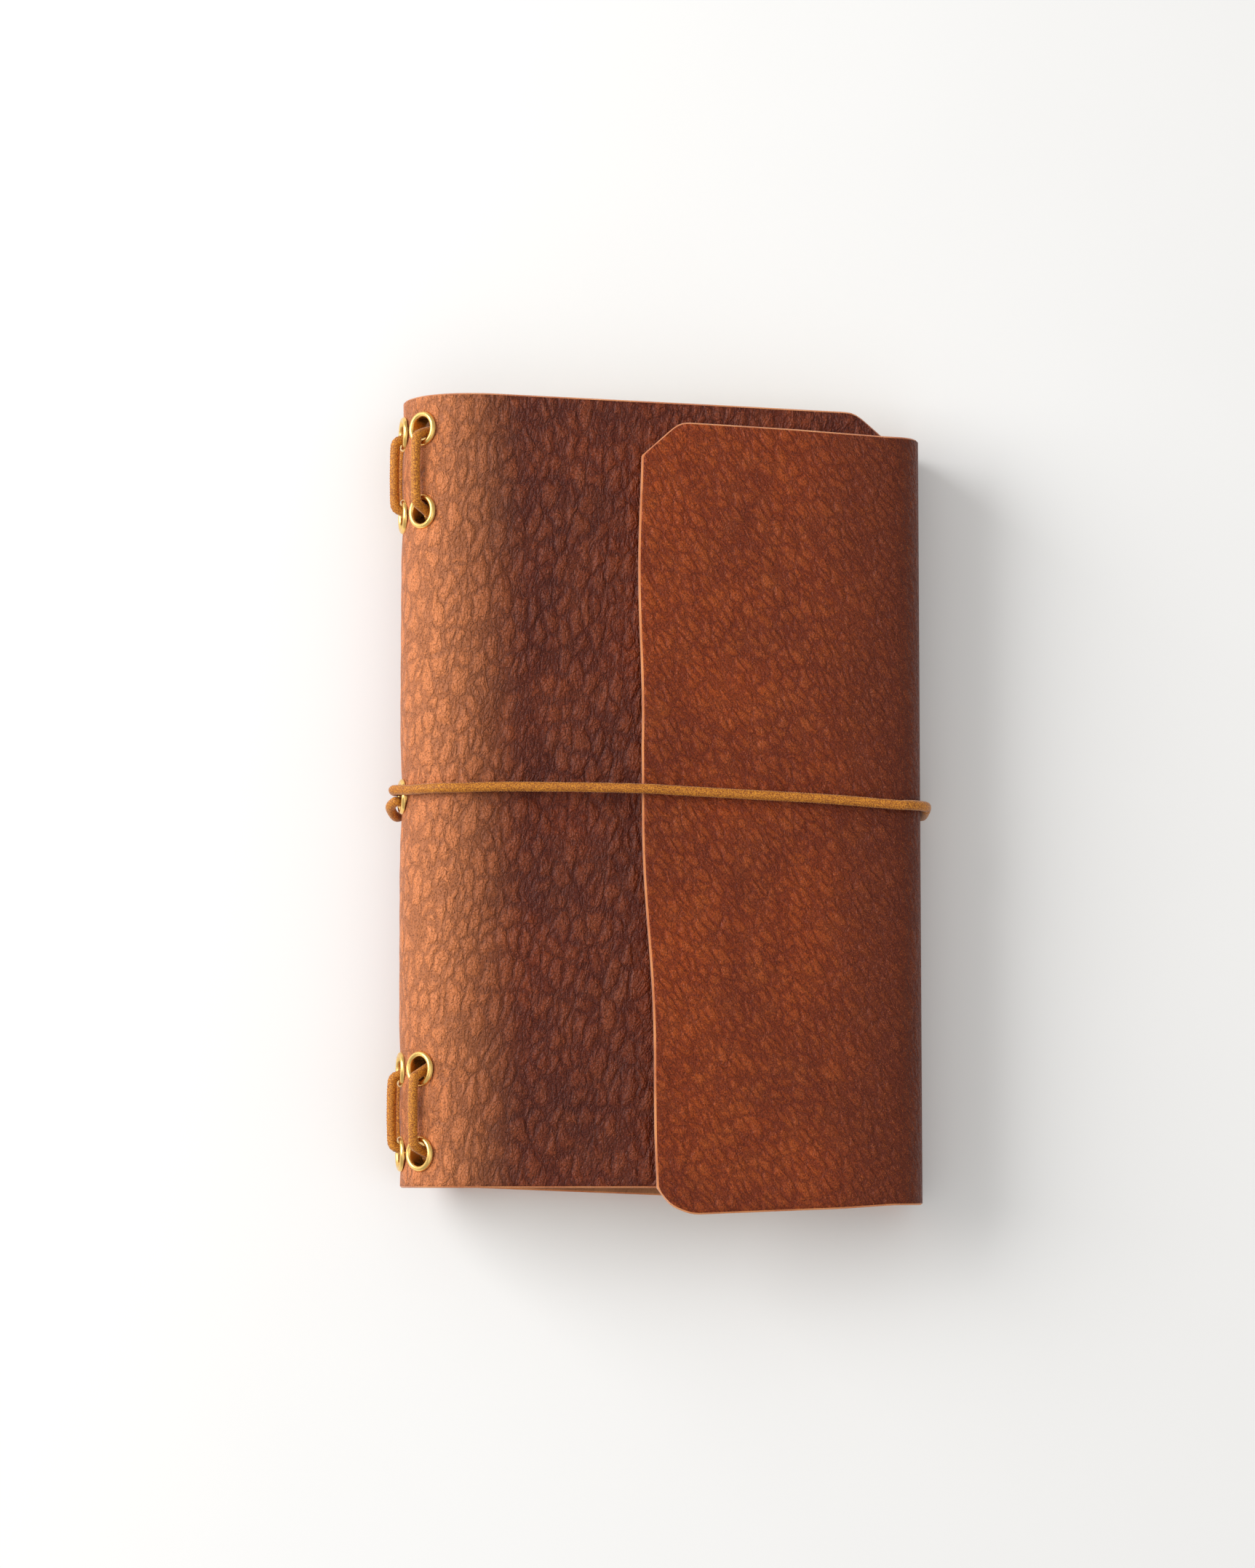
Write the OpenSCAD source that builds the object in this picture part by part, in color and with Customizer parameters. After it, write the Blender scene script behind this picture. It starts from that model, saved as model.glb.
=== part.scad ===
// Wrap-round leather notebook cover with corded refill notebooks.
// It lies closed on its back: +X points to the fore edge, +Y to the head, +Z up.

/* [Leather] */
// Thickness of the cover leather
leather_t = 2.2; // [1.6:0.1:2.8]
// Air left between two layers of leather
layer_gap = 0.3; // [0.2:0.1:0.6]

/* [Cover] */
// Height of the cover at the spine
cover_h = 155.8; // [146:0.2:190]
// Width of the closed cover, spine to fore edge
closed_w = 102.6; // [102:0.2:125]
// Outside radius of the rounded spine
spine_r = 13; // [12.6:0.1:16]
// Slope of the front from the spine down to the fore edge, degrees
front_slope = 4.6; // [3:0.2:5]
// Outside radius of the two fore-edge folds
fold_r = 6; // [4.5:0.5:7]

/* [Front panel] */
// From the free edge of the front to the outside of the fore edge
front_edge_gap = 5.3; // [4.5:0.1:8]
// How much the head of the front falls towards its free edge
front_taper = 2.8; // [0:0.2:4]
// Length of a corner's chamfer along X
chamfer_x = 7.5; // [4:0.5:10]
// Length of a corner's chamfer along Y
chamfer_y = 6.7; // [4:0.1:10]
// Length of the flexing strip beside the spine that the front turns on
hinge_strip = 9; // [7:0.5:12]

/* [Wrap] */
// Width of the flap on the front, at the head
flap_w = 55.2; // [40:0.2:66]
// How much narrower the flap is at the tail
flap_slant = 3.4; // [0:0.2:6]
// Height of the flap at its free edge
flap_h = 155.3; // [146:0.1:190]
// Height of the leather at the fore-edge folds
fold_h = 151.1; // [144:0.1:188]
// How far the wrap sits below the middle of the front
wrap_drop = 5.7; // [0:0.1:7]

/* [Eyelets] */
// Radius of the hole through an eyelet
eyelet_hole_r = 2.3; // [2.2:0.05:2.6]
// Wall of the eyelet's barrel
eyelet_wall = 0.3; // [0.2:0.05:0.4]
// Radius of the eyelet's flange
flange_r = 3.5; // [3.3:0.05:3.8]
// Height of the flange over its seat
flange_t = 0.8; // [0.6:0.05:1]
// Radius of the washer inside
washer_r = 3.1; // [3:0.05:3.15]
// Thickness of the washer inside
washer_t = 0.35; // [0.3:0.05:0.5]
// From the cover's edge to the first eyelet
eyelet_edge = 6.6; // [6:0.1:8]
// From the first eyelet of a pair to the second
eyelet_pitch = 16.5; // [14:0.5:24]
// Angle of the middle column of eyelets, from straight up
column_mid = 78; // [76:1:80]
// Angle between two columns of eyelets
column_step = 36; // [34:1:37]

/* [Elastics] */
// Diameter of the elastic cord
cord_d = 2; // [1.6:0.1:2]
// Running room round a cord
cord_room = 0.1; // [0.1:0.05:0.15]
// Place of the closing elastic's eyelet along the spine
closure_y = -1; // [-3:0.5:3]

/* [Notebooks] */
// Width of a refill notebook
insert_w = 87.5; // [80:0.5:87.5]
// Height of a refill notebook
insert_h = 140; // [120:1:140]
// Thickness of a notebook's card cover
card_t = 0.4; // [0.3:0.05:0.6]
// Air between two notebooks, on each side
insert_air = 0.12; // [0.1:0.01:0.2]
// From the middle of a notebook to each staple
staple_y = 38; // [34:1:45]
// Thickness of the staple wire
staple_t = 0.5; // [0.4:0.05:0.6]
// Length of a staple's crown
staple_w = 11; // [8:1:12]

/* [Hidden] */
$fn = 96;
hair = 0.01;
spine_in = spine_r - leather_t;
cord_r = cord_d / 2;
hinge_angle = 25;
panel_x = spine_r + hinge_strip - spine_r * sin(hinge_angle) + 0.5;
normal = [sin(front_slope), cos(front_slope)];
// distance of the front's outer face from the corner at the spine's foot
front_d = normal.x * panel_x + normal.y * 2 * spine_r;
flap_d = front_d + layer_gap + leather_t;
fold_x = closed_w - fold_r;
upper_fold_z = (flap_d - fold_r - normal.x * fold_x) / normal.y;
front_end = closed_w - front_edge_gap;
flap_end = closed_w - flap_w;
half_h = cover_h / 2;
fold_high = fold_h / 2 - wrap_drop;
fold_low = -fold_h / 2 - wrap_drop;
flap_high = flap_h / 2 - wrap_drop + 0.25;
flap_low = -flap_h / 2 - wrap_drop + 0.25;

// the groove that the closing elastic presses into the back
groove_y = -3.9;
groove_r = cord_r + 0.15;
ridge_r = groove_r + 1;
groove_z = cord_r + 0.05;
back_air = 1.2;

// eyelets: places along the cord's own axis, measured from the spine's middle
seat_out = spine_r - 0.25;
seat_in = spine_in + 0.25;
roll_low = spine_in - 0.9;
barrel_r = eyelet_hole_r + eyelet_wall;
eyelet_out = half_h - eyelet_edge;
eyelet_in = eyelet_out - eyelet_pitch;
COLUMNS = ["front", "middle", "rear"];
PLACES = ["head_outer", "head_inner", "tail_inner", "tail_outer"];
PLACE_Y = [eyelet_out, eyelet_in, -eyelet_in, -eyelet_out];
function column_angle(c) = column_mid + (c - 1) * column_step;

// notebooks: each takes a third of the room between back and front
insert_foot = leather_t + back_air;
function room_top(x) = (front_d - leather_t - layer_gap - normal.x * x) / normal.y;
function share(x, j) = insert_foot + (room_top(x) - insert_foot) * j / 3;
NOSE = [10, 7.6, 9.4];
function level(c) = 2 - c;
function nose_r(c) = (room_top(13) - insert_foot) / 6 - insert_air;
function nose_x(c) = NOSE[c] + nose_r(c);
function nose_z(c) = (share(nose_x(c), level(c)) + share(nose_x(c), level(c) + 1)) / 2;
run_depth = spine_in - 3.7;
knot_r = 2.1;
knot_y = 20;
tail_depth = spine_in - 1.9;
tail_knot_r = 1.8;

// the whole part stands over the middle of its own box
left_end = spine_r - (spine_r + cord_r + cord_room + 1 + cord_r) * sin(column_mid + 9);
right_end = closed_w + cord_d + cord_room;
shift = [-(left_end + right_end) / 2, -(half_h + flap_low) / 2, 0];

LEATHER = ["spine", "back_panel", "front_hinge_strip", "front_panel",
           "lower_fold", "fore_edge_wall", "upper_fold", "flap"];

// ---- helpers ----

// A flat outline in X and Z, drawn out along Y
module drawn(low, high) {
    translate([0, high, 0]) rotate([90, 0, 0]) linear_extrude(height = high - low) children();
}

// A bend of leather round an axis along Y; angles run from +X towards +Z
module bend(x, z, r, from, to, low, high) {
    translate([x, 0, z]) rotate([90, 0, 0]) rotate([0, 0, from])
        rotate_extrude(angle = to - from) translate([r - leather_t, -high])
            square([leather_t, high - low]);
}

// Places a child, whose +Z points outwards, at an angle and height on the spine
module on_spine(angle, y) {
    translate([spine_r, y, spine_r]) rotate([0, -angle, 0]) children();
}

// A point at an angle and distance from the spine's middle
function round_spine(angle, depth, y) =
    [spine_r - depth * sin(angle), y, spine_r + depth * cos(angle)];

module groove() {
    translate([-spine_r, groove_y, groove_z]) rotate([0, 90, 0])
        cylinder(h = closed_w + 2 * spine_r, r = groove_r, $fn = 32);
    translate([-spine_r, groove_y - groove_r, groove_z - spine_r])
        cube([closed_w + 2 * spine_r, 2 * groove_r, spine_r]);
}

module ridge(from, to) {
    translate([from, groove_y, groove_z]) rotate([0, 90, 0])
        cylinder(h = to - from, r = ridge_r, $fn = 32);
}

function unit(v) = v / norm(v);
function ring(p, t, ref, r) =
    let (u = unit(cross(ref, t)), v = cross(t, u))
    [for (k = [0:7]) p + r * (cos(k * 45) * u + sin(k * 45) * v)];

// A cord of eight sides through a list of points; ref is a direction it never runs along
module cord(points, ref, closed = false) {
    n = len(points);
    rings = [for (i = [0:n - 1])
        let (a = closed ? points[(i + n - 1) % n] : points[max(i - 1, 0)],
             b = closed ? points[(i + 1) % n] : points[min(i + 1, n - 1)])
        each ring(points[i], unit(b - a), ref, cord_r)];
    last = closed ? n - 1 : n - 2;
    sides = [for (i = [0:last], k = [0:7])
        let (a = i * 8 + k, b = i * 8 + (k + 1) % 8,
             c = ((i + 1) % n) * 8 + (k + 1) % 8, d = ((i + 1) % n) * 8 + k)
        each [[a, b, c], [a, c, d]]];
    caps = closed ? [] : [[for (k = [7:-1:0]) k], [for (k = [0:7]) (n - 1) * 8 + k]];
    polyhedron(points = rings, faces = concat(sides, caps));
}

// ---- leather ----

module spine() {
    color("#a9603a") translate(shift) difference() {
        union() {
            bend(spine_r, spine_r, spine_r, 90 + hinge_angle, 270, -half_h, half_h);
            intersection() {
                ridge(5, spine_r - hair);
                translate([spine_r, half_h, spine_r]) rotate([90, 0, 0])
                    cylinder(h = cover_h, r = spine_r - leather_t / 4);
            }
        }
        groove();
        for (c = [0:2], y = PLACE_Y) on_spine(column_angle(c), y) eyelet_seat();
        on_spine(column_mid, closure_y) eyelet_seat();
    }
}

module eyelet_seat() {
    translate([0, 0, spine_in - 2]) cylinder(h = leather_t + 4, r = barrel_r + 0.05);
    translate([0, 0, seat_out]) cylinder(h = 2, r = flange_r + 0.1);
    translate([0, 0, seat_in - 2]) cylinder(h = 2, r = washer_r + 0.1);
}

module back_panel() {
    color("#8f4c2c") translate(shift) difference() {
        union() {
            linear_extrude(height = leather_t)
                polygon([[spine_r, -half_h], [fold_x, fold_low], [fold_x, fold_high], [spine_r, half_h]]);
            intersection() {
                ridge(spine_r, fold_x);
                translate([spine_r, -half_h, leather_t / 2]) cube([fold_x - spine_r, cover_h, spine_r]);
            }
        }
        groove();
    }
}

module front_hinge_strip() {
    color("#9a5430") translate(shift) union() {
        bend(spine_r, spine_r, spine_r, 90, 90 + hinge_angle, -half_h, half_h);
        translate([spine_r, -half_h, 2 * spine_r - leather_t])
            cube([panel_x - spine_r, cover_h, leather_t]);
    }
}

module front_panel() {
    drop = leather_t / normal.y;
    reach = closed_w - panel_x;
    start = [panel_x, 2 * spine_r];
    end = start + reach * [normal.y, -normal.x];
    tail_chamfer = -half_h + chamfer_y;
    color("#7a3f26") translate(shift) intersection() {
        drawn(-half_h, half_h)
            polygon([start, end, end - leather_t * normal, start - [0, drop]]);
        linear_extrude(height = 3 * spine_r)
            polygon([[panel_x, -half_h], [front_end - chamfer_x, -half_h], [front_end, tail_chamfer],
                     [front_end, half_h - front_taper - chamfer_y],
                     [front_end - chamfer_x, half_h - front_taper], [panel_x, half_h]]);
    }
}

module lower_fold() {
    color("#8f4c2c") translate(shift) difference() {
        bend(fold_x, fold_r, fold_r, 270, 360, fold_low, fold_high);
        groove();
    }
}

module fore_edge_wall() {
    color("#8f4c2c") translate(shift)
        translate([closed_w - leather_t, fold_low, fold_r])
            cube([leather_t, fold_h, upper_fold_z - fold_r]);
}

module upper_fold() {
    color("#96512b") translate(shift)
        bend(fold_x, upper_fold_z, fold_r, 0, 90 - front_slope, fold_low, fold_high);
}

module flap() {
    root = [fold_x, upper_fold_z] + fold_r * normal;
    tip = root + (flap_w + 10) * [-normal.y, normal.x];
    color("#a05a2c") translate(shift) intersection() {
        drawn(flap_low - 1, flap_high + 1)
            polygon([root, tip, tip - leather_t * normal, root - leather_t * normal]);
        linear_extrude(height = 3 * spine_r)
            polygon([[closed_w, fold_low], [fold_x, fold_low],
                     [flap_end + flap_slant + chamfer_x, flap_low],
                     [flap_end + flap_slant, flap_low + chamfer_y],
                     [flap_end, flap_high - chamfer_y], [flap_end + chamfer_x, flap_high],
                     [fold_x, fold_high], [closed_w, fold_high]]);
    }
}

// ---- eyelets ----

module eyelet(angle, y) {
    bore = eyelet_hole_r;
    top = seat_out + flange_t;
    color("gold") translate(shift) on_spine(angle, y) rotate_extrude()
        polygon([[bore, roll_low + 0.2], [barrel_r, roll_low], [barrel_r + 0.4, roll_low + 0.15],
                 [barrel_r + 0.4, seat_in - washer_t - 0.05], [barrel_r, seat_in - washer_t - 0.03],
                 [barrel_r, seat_out], [flange_r, seat_out], [flange_r, seat_out + 0.25],
                 [flange_r - 0.25, top - 0.15], [flange_r - 0.7, top], [bore + 0.15, top - 0.15],
                 [bore, top - 0.45]]);
}

module washer(angle, y) {
    color("goldenrod") translate(shift) on_spine(angle, y)
        translate([0, 0, seat_in - washer_t]) difference() {
            cylinder(h = washer_t - hair, r = washer_r);
            translate([0, 0, -1]) cylinder(h = washer_t + 2, r = barrel_r + 0.05);
        }
}

// ---- elastics ----

// Half of a stitch, from inside an outer eyelet to the middle of the stitch: [offset, depth]
function outer_hole(e) = [[0.1, spine_in - 1.8], [0, spine_in - 1], [-0.5, spine_in + 1],
    [-1.1, spine_r + 0.4], [-1.7, spine_r + 1.4], [-3.2, spine_r + 1.7], [-e / 2, spine_r + 1.7]];
function inner_hole() = [[3.2, spine_r + 1.7], [1.7, spine_r + 1.4], [1.1, spine_r + 0.4],
    [0.3, spine_in + 1], [-0.8, spine_in - 1], [-2.4, spine_in - 2.5], [-5, run_depth]];

// The head half of a spine elastic, from the notebook's fold, out and back in, to the run inside
function head_half(c) =
    let (a = column_angle(c), x = nose_x(c), z = nose_z(c), mouth = round_spine(a, spine_in - 1.8, 0),
         gap = [x - mouth.x, 0, z - mouth.z], top = insert_h / 2 + 1.35, out = eyelet_out)
    concat(
        [[x, insert_h / 4, z], [x, insert_h / 2 - 1.8, z],
         [x, insert_h / 2, z] - 0.06 * gap, [x, insert_h / 2 + 1, z] - 0.2 * gap,
         [mouth.x, top, mouth.z] + 0.5 * gap, [mouth.x, (top + out) / 2, mouth.z] + 0.2 * gap],
        [for (q = outer_hole(eyelet_pitch)) round_spine(a, q.y, out + q.x)],
        [for (q = inner_hole()) round_spine(a, q.y, eyelet_in + q.x)],
        [round_spine(a, run_depth, eyelet_in / 2)]);

function tail_half(c) = [for (i = [len(head_half(c)) - 1:-1:0])
    let (p = head_half(c)[i]) [p.x, -p.y, p.z]];

module spine_elastic(c) {
    a = column_angle(c);
    color("#c98a2b") translate(shift)
        cord(concat(head_half(c), tail_half(c)), [cos(a), 0, sin(a)], closed = true);
}

// A knot, drawn as the round lump that it makes round the run of its elastic
module knot(c) {
    color("#b87d26") translate(shift) difference() {
        translate(round_spine(column_angle(c), run_depth + 0.6, knot_y)) sphere(r = knot_r, $fn = 32);
        translate(round_spine(column_angle(c), run_depth, knot_y - 2 * knot_r)) rotate([-90, 0, 0])
            cylinder(h = 4 * knot_r, r = cord_r + 0.05, $fn = 32);
    }
}

tail_gap = cord_r + 0.03;
mouth_depth = seat_out + flange_t + 0.12;
loop_depth = spine_r + cord_r + cord_room;

// The closing elastic from its eyelet, over the front, round the fore edge and back under
function closure_route() =
    let (m = column_mid, e = cord_r + cord_room, d = flap_d + e,
         lip_x = flap_end + 0.5, over = 2 * spine_r + e)
    concat(
        [round_spine(m, mouth_depth + 0.05, closure_y + tail_gap),
         round_spine(m, mouth_depth + 0.7, closure_y + tail_gap),
         round_spine(m - 8, loop_depth + 1.0, closure_y + 1.1),
         round_spine(m - 17, loop_depth + 0.35, closure_y + 1.0)],
        [for (a = [50:-12.5:0]) round_spine(a, loop_depth, -0.2)],
        [[20, 0, over], [(20 + lip_x) / 2, -0.1, over],
         [lip_x, -0.4, max(over, (d - normal.x * lip_x) / normal.y) + 0.05]],
        [for (x = [lip_x + 6, lip_x + 20, lip_x + 36]) [x, -0.4 - (x - lip_x) * 0.05, (d - normal.x * x) / normal.y]],
        [for (a = [90 - front_slope:-17:0])
            [fold_x + (fold_r + e) * cos(a), -3.2, upper_fold_z + (fold_r + e) * sin(a)]],
        [[closed_w + e, -3.6, upper_fold_z - 2], [closed_w + e, groove_y, fold_r]],
        [for (a = [-15:-15:-45]) [fold_x + (fold_r + e) * cos(a), groove_y, max(groove_z, fold_r + (fold_r + e) * sin(a))]],
        [[closed_w - 5, groove_y, groove_z], [closed_w / 2, groove_y, groove_z]],
        [[7.5, groove_y, groove_z]],
        [for (a = [147:-11:114]) round_spine(a, loop_depth, groove_y - 0.2)],
        [round_spine(m + 22, loop_depth + 0.35, groove_y - 0.6),
         round_spine(m + 9, loop_depth + 1.0, closure_y - 2.0),
         round_spine(m, mouth_depth + 0.7, closure_y - tail_gap),
         round_spine(m, mouth_depth + 0.05, closure_y - tail_gap)]);

module closure_elastic() {
    color("#c98a2b") translate(shift) cord(closure_route(), [0, 1, 0]);
}

// One end of the closing elastic, through its eyelet and towards the knot inside
function tail(side) =
    let (y = closure_y + side * tail_gap, m = column_mid)
    [round_spine(m, mouth_depth, y), round_spine(m, spine_in + 0.6, y),
     round_spine(m, spine_in - 0.7, y), round_spine(m + 4, spine_in - 1.3, y)];

module closure_tails() {
    there = tail(1);
    back = tail(-1);
    turn = round_spine(column_mid + 8, tail_depth, closure_y);
    color("#c98a2b") translate(shift)
        cord(concat(there, [turn], [for (i = [len(back) - 1:-1:0]) back[i]]), [0.3, 0.1, 1]);
}

module closure_knot() {
    color("#b87d26") translate(shift)
        translate(round_spine(column_mid + column_step / 2, tail_depth, closure_y - 4)) sphere(r = tail_knot_r, $fn = 32);
}

// ---- notebooks ----

// Z of a notebook's face, drawn in by a margin, on the straight line from its fold to its fore edge
function face_z(c, up, margin, x) =
    let (end_x = NOSE[c] + insert_w, side = insert_air + margin,
         start = nose_z(c) + up * (nose_r(c) - margin),
         end = share(end_x, level(c) + (up + 1) / 2) - up * side)
    start + (end - start) * (x - nose_x(c)) / (end_x - nose_x(c));

// The outline of a notebook from its end; extra lengthens it past the fore edge
module notebook_outline(c, margin, extra = 0) {
    end_x = NOSE[c] + insert_w + extra;
    polygon(concat(
        [for (a = [90:10:270]) [nose_x(c), nose_z(c)] + (nose_r(c) - margin) * [cos(a), sin(a)]],
        [[end_x, face_z(c, -1, margin, end_x)], [end_x, face_z(c, 1, margin, end_x)]]));
}

module notebook_cover(c) {
    color("#8a6d4b") translate(shift) difference() {
        drawn(-insert_h / 2, insert_h / 2) notebook_outline(c, 0);
        drawn(-insert_h / 2 - 1, insert_h / 2 + 1) notebook_outline(c, card_t, 5);
        for (s = [1, -1]) staple_wire(c, s, 0.06);
    }
}

module notebook_pages(c) {
    color("ivory") translate(shift) difference() {
        drawn(-insert_h / 2, insert_h / 2) notebook_outline(c, card_t);
        translate([nose_x(c), insert_h / 2 + 1, nose_z(c)]) rotate([90, 0, 0])
            cylinder(h = insert_h + 2, r = cord_r + 0.15);
        for (s = [1, -1])
            translate([nose_x(c), s * (insert_h / 2 - 2.6), nose_z(c)]) rotate([-90 * s, 0, 0])
                cylinder(h = 2.7, r1 = cord_r + 0.1, r2 = cord_r + 1.3);
        for (s = [1, -1]) staple_wire(c, s, 0.06);
    }
}

// A staple of flat wire: a crown outside the fold, two legs, and ends bent in at the middle pages
module staple_wire(c, side, room = 0) {
    depth = nose_r(c) - cord_r - 0.6;
    crown_x = NOSE[c] - staple_t - 0.02;
    translate([crown_x, side * staple_y, nose_z(c)]) {
        translate([-room, -staple_w / 2 - room, -staple_t / 2 - room])
            cube([staple_t + 2 * room, staple_w + 2 * room, staple_t + 2 * room]);
        for (s = [1, -1]) {
            translate([0, s * (staple_w - staple_t) / 2, 0])
                translate([0, -staple_t / 2 - room, -staple_t / 2 - room])
                    cube([depth, staple_t + 2 * room, staple_t + 2 * room]);
            translate([depth, s * staple_w * 0.32, 0])
                translate([-staple_t - room, -staple_w * 0.18 - room, -staple_t / 2 - room])
                    cube([staple_t + 2 * room, staple_w * 0.36 + 2 * room, staple_t + 2 * room]);
        }
    }
}

module staple(c, side) {
    color("silver") translate(shift) staple_wire(c, side);
}

spine();
back_panel();
front_hinge_strip();
front_panel();
lower_fold();
fore_edge_wall();
upper_fold();
flap();
for (c = [0:2], p = [0:3])
    eyelet(column_angle(c), PLACE_Y[p]);
eyelet(column_mid, closure_y);  // eyelet_closure
for (c = [0:2], p = [0:3])
    washer(column_angle(c), PLACE_Y[p]);
washer(column_mid, closure_y);  // washer_closure
for (c = [0:2]) spine_elastic(c);
for (c = [0:2]) knot(c);
closure_elastic();
closure_tails();
closure_knot();
for (c = [0:2]) notebook_cover(c);
for (c = [0:2]) notebook_pages(c);
for (c = [0:2]) staple(c, 1);
for (c = [0:2]) staple(c, -1);
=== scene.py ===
"""Leather notebook cover with a wrap-round flap, corded spine and closing elastic."""
import logging
import math
from dataclasses import dataclass, field
from enum import Enum
from functools import cached_property
from typing import Callable, Sequence

import bmesh
import bpy
import numpy as np
from mathutils import Matrix, Vector


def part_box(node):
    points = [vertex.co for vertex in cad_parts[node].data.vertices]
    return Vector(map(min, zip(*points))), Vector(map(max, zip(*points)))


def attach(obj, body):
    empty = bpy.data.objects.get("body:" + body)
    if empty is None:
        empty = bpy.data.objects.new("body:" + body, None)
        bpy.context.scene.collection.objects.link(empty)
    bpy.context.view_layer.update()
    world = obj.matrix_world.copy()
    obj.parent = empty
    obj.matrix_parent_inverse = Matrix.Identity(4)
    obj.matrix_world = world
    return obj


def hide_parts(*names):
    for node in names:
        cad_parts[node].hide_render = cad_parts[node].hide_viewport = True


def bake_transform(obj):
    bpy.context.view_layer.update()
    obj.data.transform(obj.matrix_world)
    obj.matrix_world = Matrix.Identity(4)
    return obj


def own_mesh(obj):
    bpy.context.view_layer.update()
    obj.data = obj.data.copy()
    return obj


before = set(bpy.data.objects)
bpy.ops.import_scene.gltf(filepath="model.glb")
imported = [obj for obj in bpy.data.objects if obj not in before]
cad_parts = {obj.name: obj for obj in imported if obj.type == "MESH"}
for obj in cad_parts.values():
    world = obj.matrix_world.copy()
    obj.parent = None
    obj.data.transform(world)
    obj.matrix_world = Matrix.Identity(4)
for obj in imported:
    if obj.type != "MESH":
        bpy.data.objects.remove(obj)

log = logging.getLogger("cover")
MM = 0.001
Point = tuple[float, float, float]
Colour = tuple[float, float, float]
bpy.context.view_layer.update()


def srgb(red: float, green: float, blue: float) -> Colour:
    """Linear colour of a swatch given from 0 to 255.

    Args:
        red, green, blue: the swatch's values.

    Returns:
        The three linear values.
    """
    def one(value: float) -> float:
        """One channel, made linear."""
        part = value / 255
        return part / 12.92 if part <= 0.04045 else ((part + 0.055) / 1.055) ** 2.4

    return one(red), one(green), one(blue)


class Column(Enum):
    """The spine's columns of eyelets: name and angle from straight up, degrees."""

    FRONT = ("front", 42.0)
    MIDDLE = ("middle", 78.0)
    REAR = ("rear", 114.0)


@dataclass(frozen=True)
class Layout:
    """The cover's sizes in millimetres, from the spine's left edge, middle height and underside."""

    leather: float = 2.2
    spine_r: float = 13.0
    fold_r: float = 6.0
    slope: float = math.radians(4.6)
    gap: float = 0.3
    flap_w: float = 55.2
    flap_slant: float = 3.4
    edge_gap: float = 5.3
    taper: float = 2.8
    chamfer: tuple[float, float] = (7.5, 6.7)
    strip_start: float = 7.5
    column_mid: float = 78.0
    closure_y: float = -1.0
    band_y: float = -3.9
    eyelet_edge: float = 6.6
    eyelet_pitch: float = 16.5

    @cached_property
    def origin(self) -> Vector:
        """The frame's place, in metres, of this layout's zero."""
        low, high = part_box("spine")
        return Vector((low[0], (low[1] + high[1]) / 2, 0.0))

    @cached_property
    def half_h(self) -> float:
        """Half the cover's height at the spine."""
        low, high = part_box("spine")
        return (high[1] - low[1]) / 2 / MM

    @cached_property
    def width(self) -> float:
        """Closed width, spine to fore edge."""
        return (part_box("fore_edge_wall")[1][0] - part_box("spine")[0][0]) / MM

    @cached_property
    def panel_x(self) -> float:
        """Where the front's flexing strip ends and its slope starts."""
        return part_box("front_panel")[0][0] / MM - self.origin.x / MM

    @cached_property
    def normal(self) -> tuple[float, float]:
        """The front's outward direction in X and Z."""
        return math.sin(self.slope), math.cos(self.slope)

    @cached_property
    def front_d(self) -> float:
        """How far the front's outer plane lies along its normal."""
        return self.normal[0] * self.panel_x + self.normal[1] * 2 * self.spine_r

    @cached_property
    def flap_d(self) -> float:
        """How far the flap's outer plane lies along the same normal."""
        return self.front_d + self.gap + self.leather

    @cached_property
    def fold_x(self) -> float:
        """X of the fore-edge folds' middles."""
        return self.width - self.fold_r

    @cached_property
    def upper_z(self) -> float:
        """Z of the upper fold's middle."""
        return (self.flap_d - self.fold_r - self.normal[0] * self.fold_x) / self.normal[1]

    @cached_property
    def fold_span(self) -> tuple[float, float]:
        """Lowest and highest Y of the fore-edge wall."""
        return self.span("fore_edge_wall")

    @cached_property
    def flap_span(self) -> tuple[float, float]:
        """Lowest and highest Y of the flap."""
        return self.span("flap")

    @cached_property
    def eyelet_y(self) -> tuple[float, float]:
        """Y of a column's outer and inner eyelets, towards the head."""
        outer = self.half_h - self.eyelet_edge
        return outer, outer - self.eyelet_pitch

    def span(self, node: str) -> tuple[float, float]:
        """Lowest and highest Y of a CAD node, in this layout.

        Args:
            node: its name.

        Returns:
            The two values in millimetres.
        """
        low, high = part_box(node)
        return (low[1] - self.origin.y) / MM, (high[1] - self.origin.y) / MM

    def place(self, point: Sequence[float]) -> Vector:
        """A point of this layout in the frame, in metres.

        Args:
            point: X, Y and Z in millimetres.

        Returns:
            The frame's point.
        """
        return self.origin + Vector(point) * MM

    def round_spine(self, angle: float, depth: float, y: float) -> Point:
        """A point at an angle from straight up and a distance from the spine's middle.

        Args:
            angle: degrees, towards the spine side.
            depth: distance from the spine's middle.
            y: place along the spine.

        Returns:
            The point in millimetres.
        """
        turn = math.radians(angle)
        return self.spine_r - depth * math.sin(turn), y, self.spine_r + depth * math.cos(turn)


def unit(value: float) -> float:
    """A value held between 0 and 1."""
    return min(max(value, 0), 1)


def swell(x: float, y: float) -> float:
    """Slow unevenness of the leather over its panels, in millimetres.

    Args:
        x, y: place on the cover.

    Returns:
        Height to add along the outward direction, never above its crest.
    """
    slow = math.sin(x * 0.071 + 1.3) * math.sin(y * 0.043 + 0.4)
    quick = math.sin(x * 0.16 + y * 0.05) * math.sin(y * 0.11 - x * 0.03 + 2.0)
    return 0.22 * slow + 0.1 * quick - 0.1


# ---- node trees ----


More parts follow.
